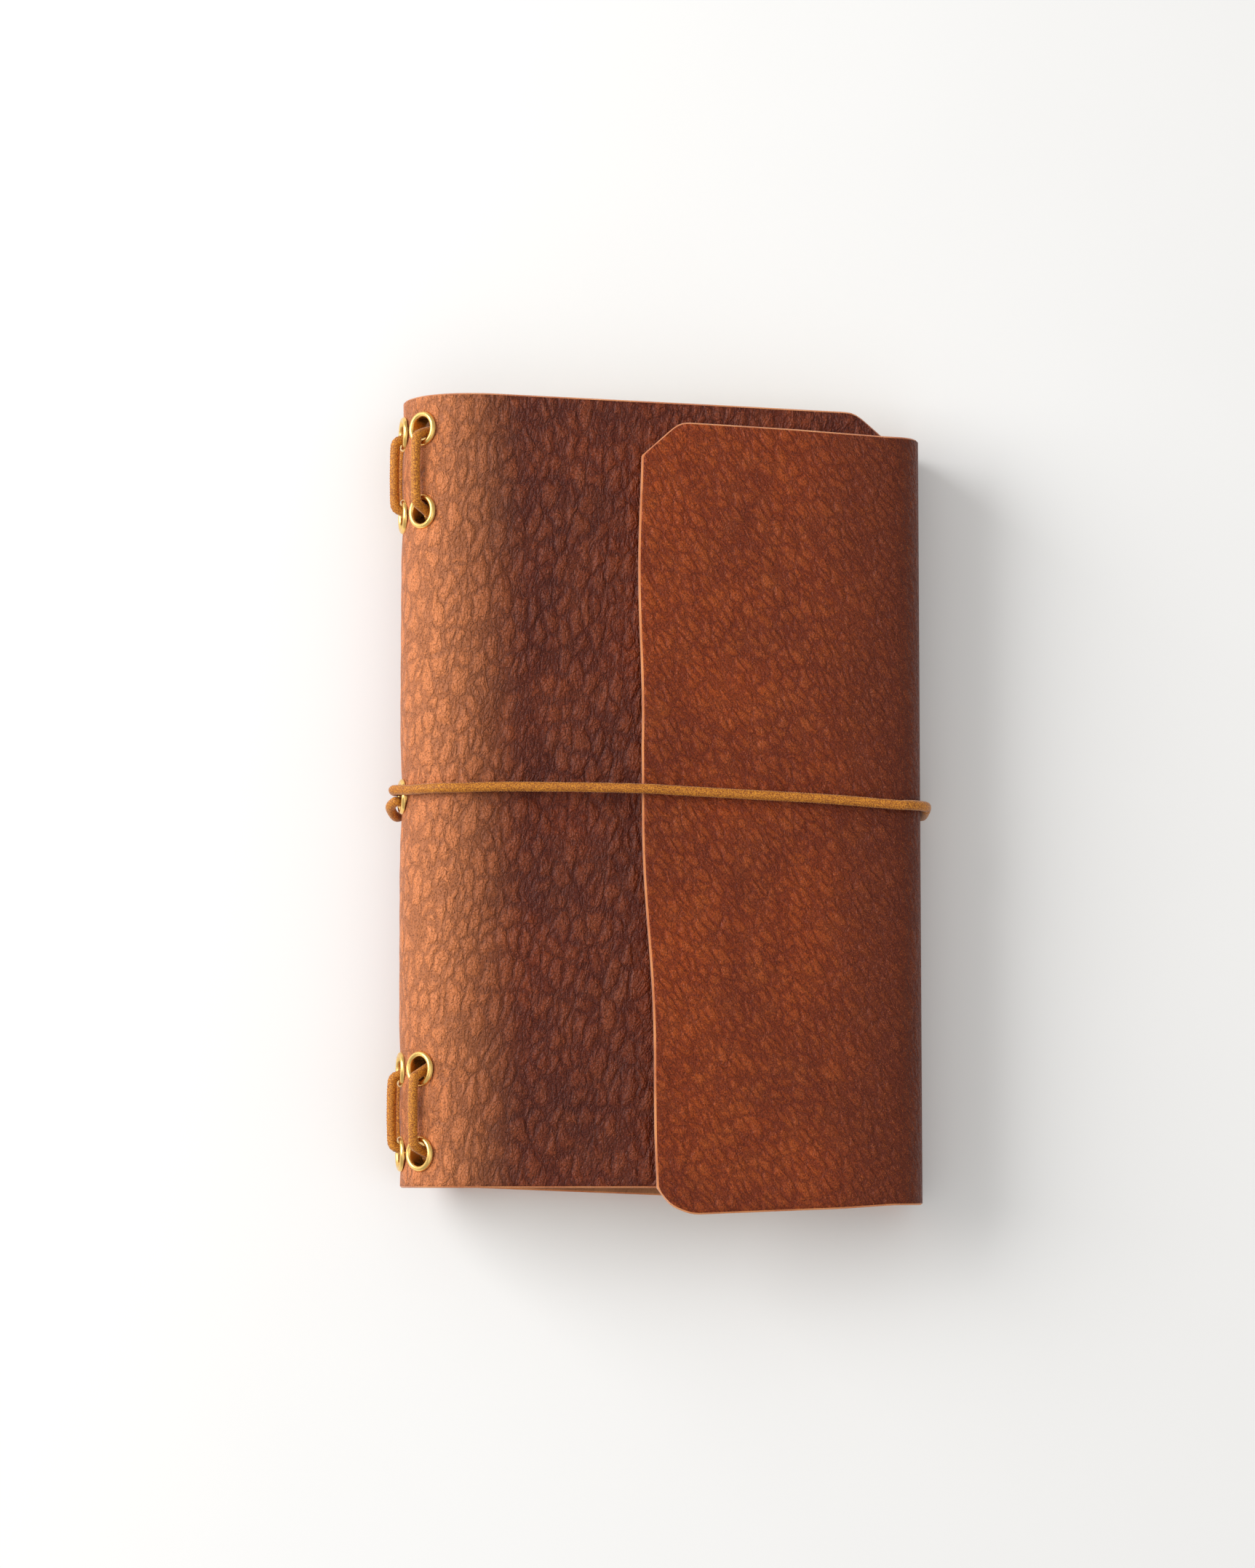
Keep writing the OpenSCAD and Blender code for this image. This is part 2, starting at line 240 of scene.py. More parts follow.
class Tree:
    """A short way to write a material's node tree."""

    def __init__(self, name: str) -> None:
        """Start a material.

        Args:
            name: the finish's name.
        """
        self.material = bpy.data.materials.new(name)
        self.material.use_nodes = True
        self.tree = self.material.node_tree
        self.shader = self.tree.nodes["Principled BSDF"]

    def put(self, kind: str, *links: tuple, **values: object) -> bpy.types.Node:
        """Add a node.

        Args:
            kind: node type, without its ShaderNode prefix.
            links: pairs of input name or number and the socket to link to it.
            values: settings, or input values whose name starts with in_.

        Returns:
            The node.
        """
        node = self.tree.nodes.new("ShaderNode" + kind)
        for name, value in values.items():
            if name.startswith("in_"):
                node.inputs[name[3:].replace("_", " ").title()].default_value = value
            else:
                setattr(node, name, value)
        for where, socket in links:
            self.tree.links.new(socket, node.inputs[where])
        return node

    def place_mm(self, stretch: Point, turn: float = 0.0) -> bpy.types.NodeSocket:
        """The surface's place in the frame, scaled so that one unit is one grain cell.

        Args:
            stretch: cell size along X, Y and Z in millimetres.
            turn: turn about Z, in degrees.

        Returns:
            The vector socket.
        """
        where = self.put("TexCoord").outputs["Object"]
        spun = self.put("Mapping", (0, where))
        spun.inputs["Rotation"].default_value = (0, 0, math.radians(turn))
        sized = self.put("Mapping", (0, spun.outputs[0]))
        sized.inputs["Scale"].default_value = tuple(1 / (MM * size) for size in stretch)
        return sized.outputs[0]

    def noise(self, where: bpy.types.NodeSocket, scale: float, detail: float = 4) -> bpy.types.NodeSocket:
        """Noise from 0 to 1.

        Args:
            where: coordinates.
            scale: how many cells to a unit.
            detail: octaves.

        Returns:
            The value socket.
        """
        node = self.put("TexNoise", ("Vector", where), in_scale=scale, in_detail=detail)
        return node.outputs["Fac"]

    def ramp(self, value: bpy.types.NodeSocket, low: float, high: float,
             to: tuple[float, float] = (0.0, 1.0)) -> bpy.types.NodeSocket:
        """Spread a stretch of a value over a new range.

        Args:
            value: the value.
            low, high: the stretch's ends.
            to: what they become.

        Returns:
            The new value's socket.
        """
        node = self.put("MapRange", (0, value), interpolation_type="SMOOTHSTEP")
        for number, amount in enumerate((low, high, *to), 1):
            node.inputs[number].default_value = amount
        return node.outputs[0]

    def sum(self, how: str, one: object, two: object) -> bpy.types.NodeSocket:
        """Arithmetic on two values.

        Args:
            how: the operation.
            one, two: sockets or numbers.

        Returns:
            The result's socket.
        """
        node = self.put("Math", operation=how)
        for number, value in enumerate((one, two)):
            if isinstance(value, (int, float)):
                node.inputs[number].default_value = value
            else:
                self.tree.links.new(value, node.inputs[number])
        return node.outputs[0]

    def mix(self, factor: object, one: object, two: object, blend: str = "MIX") -> bpy.types.NodeSocket:
        """Mix two colours.

        Args:
            factor: socket or number.
            one, two: colours or sockets.
            blend: blend type.

        Returns:
            The colour socket.
        """
        node = self.put("MixRGB", blend_type=blend)
        for number, value in enumerate((factor, one, two)):
            if isinstance(value, bpy.types.NodeSocket):
                self.tree.links.new(value, node.inputs[number])
            elif number:
                node.inputs[number].default_value = (*value, 1)
            else:
                node.inputs[0].default_value = value
        return node.outputs[0]

    def bump(self, height: bpy.types.NodeSocket, depth: float, over: object = None) -> bpy.types.NodeSocket:
        """A bump of a real depth.

        Args:
            height: from 0 to 1.
            depth: millimetres.
            over: normal to start from.

        Returns:
            The normal socket.
        """
        node = self.put("Bump", ("Height", height))
        node.inputs["Strength"].default_value = 1.0
        node.inputs["Distance"].default_value = depth * MM
        if over is not None:
            self.tree.links.new(over, node.inputs["Normal"])
        return node.outputs[0]

    def finish(self, colour: object, rough: object, normal: object = None,
               **fixed: float) -> bpy.types.Material:
        """Join the results to the shader.

        Args:
            colour: socket or colour.
            rough: socket or number.
            normal: normal socket.
            fixed: other inputs, as plain numbers.

        Returns:
            The material.
        """
        for name, value in (("Base Color", colour), ("Roughness", rough), ("Normal", normal)):
            if isinstance(value, bpy.types.NodeSocket):
                self.tree.links.new(value, self.shader.inputs[name])
            elif isinstance(value, tuple):
                self.shader.inputs[name].default_value = (*value, 1)
            elif value is not None:
                self.shader.inputs[name].default_value = value
        for name, value in fixed.items():
            self.shader.inputs[name.replace("_", " ").title().replace("Ior", "IOR")].default_value = value
        return self.material


@dataclass(frozen=True)
class GrainLeather:
    """Waxed leather: darker smooth cells with thin pale ridges between, and a fine speckle."""

    name: str
    dark: Colour
    mid: Colour
    pale: Colour
    cell: Point = (3.2, 6.5, 3.2)
    turn: float = 0.0
    ridge: float = 0.55
    depth: float = 0.5
    creased: float = 0.4
    rough: float = 0.5
    # Where and in what colour the leather brightens towards the spine: rubbed wear, together with painted
    # light standing in for the spine's brightly lit side.
    wear_and_light_x: tuple[float, float] | None = None
    wear_and_light: Colour = (0.5, 0.2, 0.1)
    # Where and in what colour the leather darkens: painted shade where the surface turns away from the light.
    painted_shade_x: tuple[float, float] | None = None
    shade: Colour = (0.1, 0.05, 0.02)

    def build(self) -> bpy.types.Material:
        """Make the material."""
        tree = Tree(self.name)
        plain = tree.place_mm((1, 1, 1))
        cells = tree.place_mm(self.cell, self.turn)
        warp = tree.put("TexNoise", ("Vector", cells), in_scale=0.9, in_detail=3)
        pushed = tree.put("VectorMath", (0, warp.outputs["Color"]), operation="SCALE")
        pushed.inputs["Scale"].default_value = 1.1
        bent = tree.put("VectorMath", (0, cells), (1, pushed.outputs[0]), operation="ADD")
        edge = tree.put("TexVoronoi", ("Vector", bent.outputs[0]), feature="DISTANCE_TO_EDGE", in_scale=1.0)
        fine = tree.put("TexVoronoi", ("Vector", bent.outputs[0]), feature="DISTANCE_TO_EDGE", in_scale=3.1)
        dome = tree.ramp(edge.outputs["Distance"], 0.0, 0.36)
        small = tree.ramp(fine.outputs["Distance"], 0.0, 0.22)
        speck = tree.noise(plain, 3.2, 6)
        slow = tree.noise(plain, 0.055, 4)
        patch = tree.noise(plain, 0.22, 4)
        long = tree.noise(tree.place_mm((1.5, 26, 1.5), self.turn + 8), 1.0, 3)
        tone = tree.mix(tree.ramp(slow, 0.25, 0.75, (0.2, 0.8)), self.dark, self.mid)
        tone = tree.mix(tree.ramp(patch, 0.4, 0.8, (0.0, 0.2)), tone, self.pale)
        tone = tree.mix(tree.sum("MULTIPLY", dome, self.ridge * 0.32), tone, self.pale)
        # Brightening towards the spine: partly real rubbed wear, partly painted light of the spine's lit
        # side.
        if self.wear_and_light_x:
            where = tree.put("SeparateXYZ", (0, plain)).outputs[0]
            near = tree.ramp(where, self.wear_and_light_x[0], self.wear_and_light_x[1], (1.0, 0.0))
            rubbed_and_lit = tree.sum("MULTIPLY", near, tree.ramp(speck, 0.25, 0.6, (0.55, 1.0)))
            tone = tree.mix(rubbed_and_lit, tone, self.wear_and_light)
        # Painted shade over a stretch of X, where the surface turns away from the light.
        if self.painted_shade_x:
            where = tree.put("SeparateXYZ", (0, plain)).outputs[0]
            tone = tree.mix(tree.ramp(where, *self.painted_shade_x, (0.0, 0.75)), tone, self.shade)
        tone = tree.mix(tree.ramp(speck, 0.42, 0.66, (0.0, 0.6)), tone, tuple(0.35 * c for c in self.dark))
        glint = tree.noise(plain, 5.5, 3)
        tone = tree.mix(tree.ramp(glint, 0.56, 0.7, (0.0, 0.55)), tone, self.pale)
        crease = tree.ramp(dome, 0.0, 0.5, (0.34, 0.0))
        tone = tree.mix(crease, tone, tuple(0.4 * c for c in self.dark))
        tone = tree.mix(tree.ramp(small, 0.0, 0.5, (0.12, 0.0)), tone, tuple(0.5 * c for c in self.dark))
        height = tree.sum("ADD", tree.sum("MULTIPLY", dome, 0.7), tree.sum("MULTIPLY", small, 0.22))
        height = tree.sum("ADD", height, tree.sum("MULTIPLY", speck, 0.22))
        height = tree.sum("ADD", height, tree.sum("MULTIPLY", long, self.creased))
        broad = tree.bump(tree.noise(plain, 0.16, 3), self.depth * 2)
        normal = tree.bump(height, self.depth, broad)
        gloss = tree.ramp(speck, 0.3, 0.7, (self.rough - 0.08, self.rough + 0.14))
        return tree.finish(tone, gloss, normal, specular_ior_level=0.26, sheen_weight=0.03,
                           sheen_roughness=0.5)


@dataclass(frozen=True)
class FleshLeather:
    """The leather's napped inside, and its cut edges."""

    name: str
    tone: Colour
    pale: Colour
    nap: float = 0.12

    def build(self) -> bpy.types.Material:
        """Make the material."""
        tree = Tree(self.name)
        plain = tree.place_mm((1, 1, 1))
        fibre = tree.noise(tree.place_mm((0.4, 1.6, 0.4), 20), 1.6, 5)
        blotch = tree.noise(plain, 0.12, 4)
        tone = tree.mix(tree.ramp(blotch, 0.3, 0.7), self.tone, self.pale)
        tone = tree.mix(tree.ramp(fibre, 0.4, 0.75, (0.0, 0.45)), tone, self.pale)
        tone = tree.mix(tree.ramp(fibre, 0.2, 0.45, (0.4, 0.0)), tone, tuple(0.4 * c for c in self.tone))
        return tree.finish(tone, 0.86, tree.bump(fibre, self.nap), sheen_weight=0.3,
                           sheen_roughness=0.6, specular_ior_level=0.25)


@dataclass(frozen=True)
class Brass:
    """Polished brass with faint drawing marks."""

    name: str
    tone: Colour

    def build(self) -> bpy.types.Material:
        """Make the material."""
        tree = Tree(self.name)
        marks = tree.noise(tree.place_mm((0.25, 0.25, 0.25)), 1.0, 3)
        haze = tree.noise(tree.place_mm((2.5, 2.5, 2.5)), 1.0, 4)
        tone = tree.mix(tree.ramp(haze, 0.35, 0.8, (0.0, 0.4)), self.tone, tuple(0.55 * c for c in self.tone))
        gloss = tree.ramp(haze, 0.3, 0.7, (0.2, 0.34))
        return tree.finish(tone, gloss, tree.bump(marks, 0.012), metallic=1.0)


@dataclass(frozen=True)
class WoundElastic:
    """Thread-covered elastic: its ribs are in the mesh, its thread tones here."""

    name: str
    tone: Colour
    shade: Colour

    def build(self) -> bpy.types.Material:
        """Make the material."""
        tree = Tree(self.name)
        thread = tree.noise(tree.place_mm((0.35, 0.35, 0.35)), 1.4, 4)
        wear = tree.noise(tree.place_mm((4, 4, 4)), 1.0, 3)
        tone = tree.mix(tree.ramp(thread, 0.35, 0.7), self.shade, self.tone)
        tone = tree.mix(tree.ramp(wear, 0.45, 0.8, (0.0, 0.35)), tone, self.shade)
        return tree.finish(tone, 0.62, tree.bump(thread, 0.05), sheen_weight=0.25,
                           sheen_roughness=0.4, specular_ior_level=0.4)


@dataclass(frozen=True)
class PageBlock:
    """Paper, with the lines of its leaves where the block is cut."""

    name: str
    tone: Colour
    shade: Colour
    leaf: float = 0.22

    def build(self) -> bpy.types.Material:
        """Make the material."""
        tree = Tree(self.name)
        lines = tree.noise(tree.place_mm((40, 40, self.leaf)), 1.0, 2)
        grain = tree.noise(tree.place_mm((1, 1, 1)), 1.5, 5)
        face = tree.put("NewGeometry").outputs["Normal"]
        up = tree.sum("ABSOLUTE", tree.put("SeparateXYZ", (0, face)).outputs[2], 0)
        edge = tree.ramp(up, 0.4, 0.7, (1.0, 0.0))
        tone = tree.mix(tree.sum("MULTIPLY", edge, tree.ramp(lines, 0.4, 0.62)), self.tone, self.shade)
        tone = tree.mix(tree.ramp(grain, 0.5, 0.8, (0.0, 0.12)), tone, self.shade)
        return tree.finish(tone, 0.85, tree.bump(tree.sum("MULTIPLY", edge, lines), 0.12),
                           specular_ior_level=0.3)


@dataclass(frozen=True)
class Card:
    """Plain card with flecks of fibre."""

    name: str
    tone: Colour
    fleck: Colour

    def build(self) -> bpy.types.Material:
        """Make the material."""
        tree = Tree(self.name)
        fibre = tree.noise(tree.place_mm((0.5, 2.5, 0.5), 30), 1.2, 5)
        tone = tree.mix(tree.ramp(fibre, 0.55, 0.75, (0.0, 0.5)), self.tone, self.fleck)
        return tree.finish(tone, 0.8, tree.bump(fibre, 0.03), specular_ior_level=0.3)


@dataclass(frozen=True)
class Wire:
    """Bright drawn wire."""

    name: str
    tone: Colour

    def build(self) -> bpy.types.Material:
        """Make the material."""
        tree = Tree(self.name)
        drawn = tree.noise(tree.place_mm((2, 0.1, 0.1)), 1.0, 3)
        return tree.finish(self.tone, tree.ramp(drawn, 0.3, 0.7, (0.25, 0.45)), None, metallic=1.0)


@dataclass(frozen=True)
class Floor:
    """The pale table."""

    name: str
    tone: Colour

    def build(self) -> bpy.types.Material:
        """Make the material."""
        tree = Tree(self.name)
        faint = tree.noise(tree.place_mm((60, 60, 60)), 1.0, 3)
        dim = tuple(0.97 * c for c in self.tone)
        tone = tree.mix(tree.ramp(faint, 0.3, 0.7, (0.0, 0.25)), self.tone, dim)
        return tree.finish(tone, 0.9, None, specular_ior_level=0.1)


# ---- meshes ----


def new_piece(name: str, verts: Sequence, faces: Sequence, materials: Sequence) -> bpy.types.Object:
    """Make an object from points in metres.

    Args:
        name: the piece's name.
        verts: points.
        faces: tuples of point numbers.
        materials: its materials, in slot order.

    Returns:
        The object, with smooth faces.
    """
    mesh = bpy.data.meshes.new(name)
    mesh.from_pydata([tuple(v) for v in verts], [], faces)
    mesh.validate()
    for material in materials:
        mesh.materials.append(material)
    for face in mesh.polygons:
        face.use_smooth = True
    piece = bpy.data.objects.new(name, mesh)
    bpy.context.scene.collection.objects.link(piece)
    return piece


def apply_modifiers(piece: bpy.types.Object) -> None:
    """Fix a piece's modifiers into its mesh.

    Args:
        piece: the object.
    """
    bpy.context.view_layer.update()
    graph = bpy.context.evaluated_depsgraph_get()
    mesh = bpy.data.meshes.new_from_object(piece.evaluated_get(graph))
    piece.modifiers.clear()
    piece.data = mesh


def face_outward(piece: bpy.types.Object) -> None:
    """Turn a closed mesh's faces outward.

    Args:
        piece: the object.
    """
    shape = bmesh.new()
    shape.from_mesh(piece.data)
    bmesh.ops.recalc_face_normals(shape, faces=shape.faces)
    shape.to_mesh(piece.data)
    shape.free()


def shade_by_angle(piece: bpy.types.Object, degrees: float = 38.0) -> None:
    """Keep edges sharper than an angle crisp.

    Args:
        piece: the object.
        degrees: the angle.
    """
    piece.data.set_sharp_from_angle(angle=math.radians(degrees))


def relax(points: np.ndarray, passes: int) -> np.ndarray:
    """Round the corners of a run of values, with its ends held.

    Args:
        points: one row for each value.
        passes: how often each moves towards its neighbours.

    Returns:
        The rounded run.
    """
    points = points.astype(float).copy()
    for _ in range(passes):
        points[1:-1] = (points[:-2] + 2 * points[1:-1] + points[2:]) / 4
    return points


def evenly(points: Sequence[Sequence[float]], step: float) -> np.ndarray:
    """Walk along a line of points in equal steps.

    Args:
        points: corners of the line.
        step: about how long a step is.

    Returns:
        One row for each step.
    """
    corners = np.array(points, float)
    lengths = np.concatenate([[0], np.cumsum(np.linalg.norm(np.diff(corners, axis=0), axis=1))])
    count = max(int(round(lengths[-1] / step)), 2)
    at = np.linspace(0, lengths[-1], count + 1)
    return np.stack([np.interp(at, lengths, corners[:, k]) for k in range(corners.shape[1])], axis=1)


def read(table: np.ndarray, x: float, column: int) -> float:
    """A column's value at X, between a table's rows.

    Args:
        table: rows that start with X.
        x: where.
        column: which column.

    Returns:
        The value.
    """
    return float(np.interp(x, table[:, 0], table[:, column]))


def arc(middle: tuple[float, float], radius: float, start: float, end: float) -> list[tuple[float, float]]:
    """Points of an arc in X and Z, from +X towards +Z.

    Args:
        middle: the arc's middle.
        radius: its radius.
        start, end: degrees.

    Returns:
        The points.
    """
    count = max(int(abs(end - start) / 3), 2)
    turns = [math.radians(start + (end - start) * k / count) for k in range(count + 1)]
    return [(middle[0] + radius * math.cos(t), middle[1] + radius * math.sin(t)) for t in turns]


def lathe(outline: Sequence[tuple[float, float]], sides: int = 48) -> tuple[list[Vector], list[tuple]]:
    """Turn a closed outline about Z.

    Args:
        outline: radius and height of each corner.
        sides: steps round.

    Returns:
        Points and faces, in the outline's own units.
    """
    verts, faces, count = [], [], len(outline)
    for side in range(sides):
        turn = 2 * math.pi * side / sides
        verts += [Vector((r * math.cos(turn), r * math.sin(turn), h)) for r, h in outline]
    for side in range(sides):
        here, there = side * count, (side + 1) % sides * count
        for k in range(count):
            nxt = (k + 1) % count
            faces.append((here + k, there + k, there + nxt, here + nxt))
    return verts, faces


def smooth_path(points: Sequence[Point], step: float, closed: bool = False) -> list[Vector]:
    """A smooth line through points, in equal steps.

    Args:
        points: places on the line, in millimetres.
        step: length of a step.
        closed: whether the line joins up.

    Returns:
        The line's points.
    """
    spots = [Vector(p) for p in points]
    count = len(spots)
    fine: list[Vector] = []
    for k in range(count if closed else count - 1):
        if closed:
            a, b, c, d = (spots[(k + n) % count] for n in (-1, 0, 1, 2))
        else:
            a, b, c, d = (spots[min(max(k + n, 0), count - 1)] for n in (-1, 0, 1, 2))
        for part in range(12):
            t = part / 12
            fine.append(0.5 * (2 * b + (c - a) * t + (2 * a - 5 * b + 4 * c - d) * t * t
                               + (3 * b - a - 3 * c + d) * t ** 3))
    fine.append(fine[0] if closed else spots[-1])
    return [Vector(row) for row in evenly(fine, step)]


def tube(path: Sequence[Vector], radius: Callable[[int], float], closed: bool = False,
         sides: int = 12) -> tuple[list[Vector], list[tuple]]:
    """A round tube along a path, without twist.

    Args:
        path: points, equally spaced.
        radius: the tube's radius at each point number.
        closed: whether the path joins up; its last point then repeats its first.
        sides: steps round.

    Returns:
        Points and faces.
    """
    spots = list(path[:-1]) if closed else list(path)
    count = len(spots)
    verts, faces = [], []
    across = Vector((0.3, 0.1, 1.0))
    frames = []
    for k, spot in enumerate(spots):
        ahead = spots[(k + 1) % count] if closed or k < count - 1 else spot
        behind = spots[k - 1] if closed or k else spot
        along = (ahead - behind).normalized()
        across = (across - along * across.dot(along)).normalized()
        frames.append((along, across.copy()))
    slip = 0.0
    if closed:
        along, first = frames[0]
        last = (frames[-1][1] - along * frames[-1][1].dot(along)).normalized()
        slip = math.atan2(first.cross(last).dot(along), first.dot(last))
    for k, (spot, (along, first)) in enumerate(zip(spots, frames)):
        turned = Matrix.Rotation(-slip * k / count, 3, along) @ first
        other = along.cross(turned)
        for side in range(sides):
            angle = 2 * math.pi * side / sides
            verts.append(spot + radius(k) * (math.cos(angle) * turned + math.sin(angle) * other))
    for k in range(count if closed else count - 1):
        here, there = k * sides, (k + 1) % count * sides
        for side in range(sides):
            nxt = (side + 1) % sides
            faces.append((here + side, here + nxt, there + nxt, there + side))
    if not closed:
        faces.append(tuple(range(sides - 1, -1, -1)))
        faces.append(tuple((count - 1) * sides + side for side in range(sides)))
    return verts, faces


# ---- leather ----


@dataclass
class Sheet:
    """A run of leather: a line in X and Z, with a lowest and highest Y at each step."""

    layout: Layout
    name: str
    outer: Sequence[tuple[float, float]]
    limits: Callable[[float, float], tuple[float, float]]
    shear: Callable[[float, float], float] = lambda x, y: 0.0
    lift: Callable[[np.ndarray, float], float] = lambda spot, y: 0.0
    step: float = 0.9
    rows: int = 150
    edge: float = 0.32
    ends: tuple[bool, bool] = (False, True)

    def build(self, outside: bpy.types.Material, inside: bpy.types.Material,
              cut: bpy.types.Material) -> bpy.types.Object:
        """Make the sheet's mesh.

        Args:
            outside, inside, cut: materials of its three kinds of face.

        Returns:
            The piece.
        """
        line = relax(evenly(self.outer, self.step), 4)
        along = np.gradient(line, axis=0)
        out = np.stack([-along[:, 1], along[:, 0]], axis=1)
        out /= np.linalg.norm(out, axis=1)[:, None]
        spans = relax(np.array([self.limits(*spot) for spot in line]), 3)
        thick = self.layout.leather
        depths = (0.0, self.edge, thick - self.edge, thick)
        insets = (self.edge, 0.0, 0.0, self.edge)
        count, rows = len(line), self.rows
        verts: list[Vector] = []
        for depth, inset in zip(depths, insets):
            for i in range(count):
                low, high = spans[i][0] + inset, spans[i][1] - inset
                shrink = 0.0
                if i == 0 and self.ends[0]:
                    shrink = inset
                if i == count - 1 and self.ends[1]:
                    shrink = -inset
                step_along = along[i] / np.linalg.norm(along[i])
                for j in range(rows + 1):
                    y = low + (high - low) * j / rows
                    spot = line[i] + out[i] * (self.lift(line[i], y) - depth) + step_along * shrink
                    verts.append(self.layout.place((spot[0] + self.shear(line[i][0], y), y, spot[1])))
        size = count * (rows + 1)
        faces, kinds = [], []

        def corner(layer: int, i: int, j: int) -> int:
            """Number of a grid corner."""
            return layer * size + i * (rows + 1) + j

        for i in range(count - 1):
            for j in range(rows):
                faces.append((corner(0, i, j), corner(0, i, j + 1),
                              corner(0, i + 1, j + 1), corner(0, i + 1, j)))
                faces.append((corner(3, i, j), corner(3, i + 1, j),
                              corner(3, i + 1, j + 1), corner(3, i, j + 1)))
                kinds += [0, 1]
        rim = [(i, 0) for i in range(count)] + [(count - 1, j) for j in range(1, rows + 1)]
        rim += [(i, rows) for i in range(count - 2, -1, -1)] + [(0, j) for j in range(rows - 1, 0, -1)]
        for layer in range(3):
            for k, (i, j) in enumerate(rim):
                m, n = rim[(k + 1) % len(rim)]
                faces.append((corner(layer, i, j), corner(layer, m, n), corner(layer + 1, m, n),
                              corner(layer + 1, i, j)))
                kinds.append(2)
        used = sorted({number for face in faces for number in face})
        renumber = {number: k for k, number in enumerate(used)}
        piece = new_piece(self.name, [verts[n] for n in used],
                          [tuple(renumber[n] for n in face) for face in faces], (outside, inside, cut))
        piece.data.polygons.foreach_set("material_index", kinds)
        face_outward(piece)
        return piece


@dataclass
class LeatherFinishes:
    """The three leathers of each side, made once."""

    front: bpy.types.Material
    flap: bpy.types.Material
    back: bpy.types.Material
    inside: bpy.types.Material
    cut: bpy.types.Material

    @staticmethod
    def make() -> "LeatherFinishes":
        """Make every leather finish."""
        # The front and back leathers brighten towards the spine: rubbed wear mixed with painted light of the
        # spine's lit side.
        front = GrainLeather("waxed_front_leather", srgb(72, 14, 0), srgb(122, 42, 4), srgb(172, 92, 50),
                             cell=(2.7, 5.2, 2.7), turn=6, wear_and_light_x=(-47, -25), wear_and_light=srgb(238, 146, 88))
        # The flap darkens towards its fold with painted shade, where the fold turns away from the light.
        flap = GrainLeather("waxed_flap_leather", srgb(108, 32, 0), srgb(164, 62, 0), srgb(196, 104, 40),
                            cell=(1.7, 3.6, 1.7), turn=-38, ridge=0.5, depth=0.3, creased=1.3, rough=0.5,
                            painted_shade_x=(24, 48), shade=srgb(84, 26, 0))
        back = GrainLeather("waxed_back_leather", srgb(84, 28, 4), srgb(124, 50, 18), srgb(174, 96, 56),
                            cell=(2.6, 4.5, 2.6), turn=10, ridge=0.4, wear_and_light_x=(-46, -26),
                            wear_and_light=srgb(186, 108, 74))
        inside = FleshLeather("napped_inside", srgb(140, 86, 52), srgb(176, 120, 80))
        cut = FleshLeather("raw_cut_edge", srgb(186, 100, 48), srgb(216, 138, 78), nap=0.2)
        return LeatherFinishes(front.build(), flap.build(), back.build(), inside.build(), cut.build())


